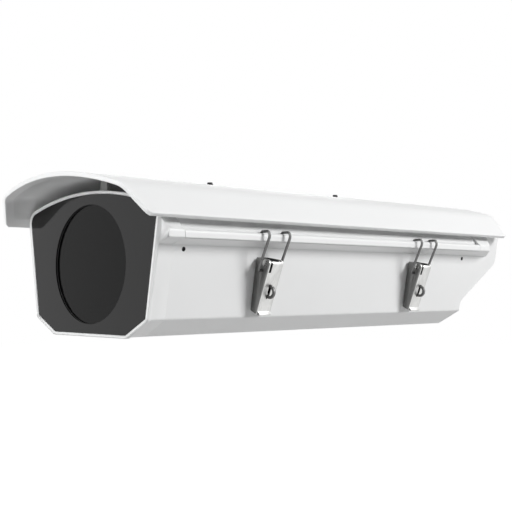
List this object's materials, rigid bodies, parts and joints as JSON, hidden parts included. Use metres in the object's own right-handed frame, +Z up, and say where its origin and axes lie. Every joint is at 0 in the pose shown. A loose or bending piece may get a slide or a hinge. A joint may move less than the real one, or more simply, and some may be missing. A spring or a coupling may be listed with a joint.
{
  "type": "security camera housing",
  "caption": "Long outdoor camera housing: a straight trough between a front collar with a round window and a rear cap, an arched lid that opens sideways, wire toggle latches and a curved sunshield.",
  "frame": {"origin": "centre of the four bracket screw holes, in the plane of the flat bottom face", "axes": "+Z up, +Y back along the housing away from the window, +X towards the latch side; the lid's hinge is on -X"},
  "size_m": [0.1871, 0.4504, 0.1181],
  "materials": {
    "white_coating": "satin powder coat",
    "dark_coating": "gloss black coat",
    "window_glass": "polished flat glass",
    "seal_rubber": "matt",
    "black_plastic": "fine spark texture",
    "steel": "bright",
    "dark_steel": "blackened",
    "latch_steel": "brushed stainless",
    "wire_steel": "drawn stainless wire",
    "bare_aluminium": "mill finish",
    "board_laminate": "solder-masked laminate",
    "terminal_plastic": "moulded"
  },
  "bodies": {
    "housing": {"base_shell": "white_coating", "front_collar": "white_coating", "rear_cap": "white_coating", "front_plate": "dark_coating", "plate_screws": "steel", "window_seal": "seal_rubber", "window_glass": "window_glass", "window_clamp": "black_plastic", "clamp_screws": "steel", "side_screws": "dark_steel", "visor_pad": "seal_rubber", "hinge_pins": "steel", "hinge_clips": "steel", "latch_bracket_front": "latch_steel", "latch_bracket_rear": "latch_steel", "latch_pin_front": "steel", "latch_pin_rear": "steel", "latch_screws": "steel", "camera_tray": "bare_aluminium", "tray_screws": "steel", "camera_screw": "steel", "camera_washer": "steel", "terminal_board": "board_laminate", "terminal_block": "terminal_plastic", "board_screws": "steel", "gland_bodies": "black_plastic", "gland_nuts": "black_plastic", "gland_seals": "seal_rubber", "gland_locknuts": "black_plastic"},
    "lid": {"lid_shell": "white_coating", "lid_gasket": "seal_rubber", "visor": "white_coating", "visor_spacers": "black_plastic", "visor_washers": "seal_rubber", "visor_screws": "dark_steel"},
    "lever_front": {"latch_lever_front": "latch_steel"},
    "lever_rear": {"latch_lever_rear": "latch_steel"},
    "hook_front": {"latch_hook_front": "wire_steel"},
    "hook_rear": {"latch_hook_rear": "wire_steel"}
  },
  "joints": [
    {"name": "lid_hinge", "type": "hinge", "parent": "housing", "child": "lid", "pos_m": [-0.0912, 0, 0.07], "axis": [0, -1, 0], "range_deg": [0, 100]},
    {"name": "lever_front_pivot", "type": "hinge", "parent": "housing", "child": "lever_front", "pos_m": [0.08273, -0.088, 0.05171], "axis": [0, -1, 0], "range_deg": [0, 120], "deforming": ["latch_hook_front"]},
    {"name": "lever_rear_pivot", "type": "hinge", "parent": "housing", "child": "lever_rear", "pos_m": [0.08273, 0.096, 0.05171], "axis": [0, -1, 0], "range_deg": [0, 120], "deforming": ["latch_hook_rear"]},
    {"name": "hook_front_pivot", "type": "hinge", "parent": "lever_front", "child": "hook_front", "pos_m": [0.0789, -0.088, 0.0463], "axis": [0, -1, 0], "range_deg": [-144, 0]},
    {"name": "hook_rear_pivot", "type": "hinge", "parent": "lever_rear", "child": "hook_rear", "pos_m": [0.0789, 0.096, 0.0463], "axis": [0, -1, 0], "range_deg": [-144, 0]}
  ],
  "couplings": [
    {"joint": "hook_front_pivot", "follows": "lever_front_pivot", "ratio": -1.2},
    {"joint": "hook_rear_pivot", "follows": "lever_rear_pivot", "ratio": -1.2}
  ]
}
